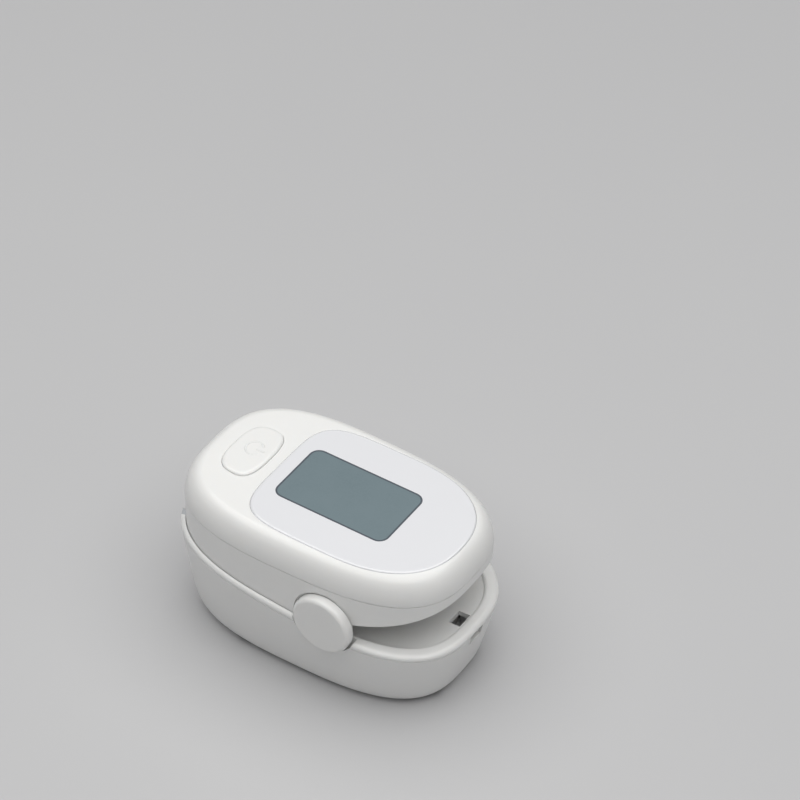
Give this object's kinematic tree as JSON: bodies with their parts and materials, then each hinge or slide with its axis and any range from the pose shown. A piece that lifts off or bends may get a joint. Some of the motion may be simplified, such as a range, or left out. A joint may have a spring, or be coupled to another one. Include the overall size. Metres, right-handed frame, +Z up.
{
  "type": "fingertip pulse oximeter",
  "caption": "Oval white fingertip pulse oximeter: sprung clip jaws on a side-capped hinge, rectangular display, push button, finger tunnel, pinch tray and sliding battery door.",
  "frame": {"origin": "centre of the flat underside, under the middle of the closed instrument", "axes": "+Z up, +X along the length to the pinch end with the lanyard hole, -X to the finger end, +Y across to the left cap"},
  "size_m": [0.06, 0.0384, 0.0334],
  "materials": {
    "shell": "satin-gloss white moulded plastic",
    "lens": "clear gloss",
    "mask": "white printed film",
    "display": "dark grey display glass",
    "gasket": "matt black foam",
    "board": "green solder mask",
    "chip": "matt black",
    "connector": "ivory nylon",
    "switch_metal": "tinned steel",
    "switch_plastic": "matt black",
    "pad": "matt pale grey silicone",
    "led": "clear epoxy",
    "window": "clear gloss",
    "flex": "amber polyimide",
    "steel": "nickel-plated steel",
    "cell": "satin foil sleeve"
  },
  "bodies": {
    "lower_jaw": {"lower_frame": "shell", "lower_finger_pad": "pad", "sensor_board": "board", "photodiode": "chip", "sensor_window": "window", "link_cable": "flex", "bottom_cover": "shell", "cell_left": "cell", "cell_right": "cell", "cell_springs": "steel", "cell_contacts": "steel", "cell_bridge": "steel", "hinge_axle": "steel", "hinge_cap_left": "shell", "hinge_cap_right": "shell", "torsion_spring_left": "steel", "torsion_spring_right": "steel", "lower_screws": "steel"},
    "upper_jaw": {"top_cover": "shell", "display_lens": "lens", "lens_mask": "mask", "display_panel": "display", "display_gasket": "gasket", "main_board": "board", "board_chips": "chip", "board_connector": "connector", "tact_switch": "switch_metal", "upper_frame": "shell", "upper_finger_pad": "pad", "emitter_board": "board", "emitter_leds": "led", "emitter_window": "window", "upper_screws": "steel"},
    "button": {"power_button": "shell", "switch_plunger": "switch_plastic"},
    "battery_door": {"battery_cover": "shell"}
  },
  "joints": [
    {"name": "jaw_hinge", "type": "hinge", "parent": "lower_jaw", "child": "upper_jaw", "pos_m": [0.0087, 0, 0.0192], "axis": [0, 1, 0], "range_deg": [0, 22], "stiffness_Nm_per_rad": 0.06, "springref_deg": -34.38, "deforming": ["torsion_spring_left", "torsion_spring_right", "link_cable"]},
    {"name": "button_press", "type": "slide", "parent": "upper_jaw", "child": "button", "axis": [0, 0, -1], "range_m": [0, 0.0004], "stiffness_N_per_m": 300, "springref_m": -0.0015},
    {"name": "battery_door_slide", "type": "slide", "parent": "lower_jaw", "child": "battery_door", "axis": [-1, 0, 0], "range_m": [0, 0.047]}
  ]
}
